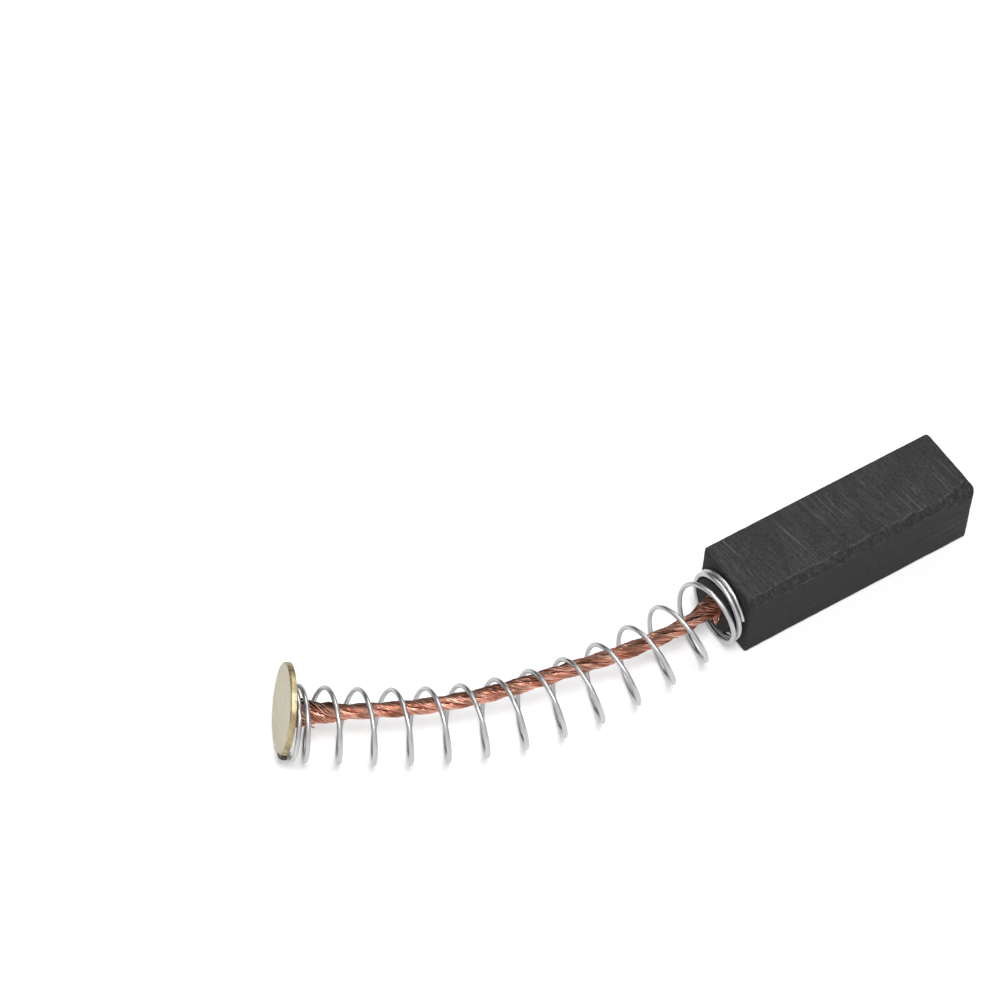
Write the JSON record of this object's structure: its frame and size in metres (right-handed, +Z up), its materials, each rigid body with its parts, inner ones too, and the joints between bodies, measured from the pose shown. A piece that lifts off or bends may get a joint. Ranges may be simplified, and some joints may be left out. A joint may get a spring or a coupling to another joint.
{
  "type": "carbon brush",
  "caption": "Rectangular carbon motor brush with a coil spring over a stranded copper lead and a round brass terminal cap.",
  "frame": {"origin": "centre of the running face, the flat end of the carbon block that rubs on the commutator", "axes": "+X out of the running face along the block, +Z up from the side that the block lies on, +Y toward the side that the spring bends to"},
  "size_m": [0.0587, 0.0166, 0.0072],
  "materials": {
    "carbon": "dark grey pressed carbon, ground, with fine scratches and pits",
    "powder": "rammed copper and graphite powder",
    "copper": "bare soft copper wires, laid in bunches",
    "spring_steel": "bright drawn spring wire",
    "brass": "pale satin brass face with a golden sheared edge",
    "braze": "dull braze, slightly browned by heat"
  },
  "bodies": {
    "brush": {"carbon_block": "carbon", "tamping_plug": "powder", "lead_strand_1": "copper", "lead_strand_2": "copper", "lead_strand_3": "copper", "lead_strand_4": "copper", "compression_spring": "spring_steel"},
    "cap": {"terminal_cap": "brass", "braze_mound": "braze"}
  },
  "joints": [
    {"name": "cap_travel", "type": "slide", "parent": "brush", "child": "cap", "axis": [0.9646, -0.2636, 0], "range_m": [0, 0.02], "stiffness_N_per_m": 120, "deforming": ["compression_spring", "lead_strand_1", "lead_strand_2", "lead_strand_3", "lead_strand_4"]}
  ]
}
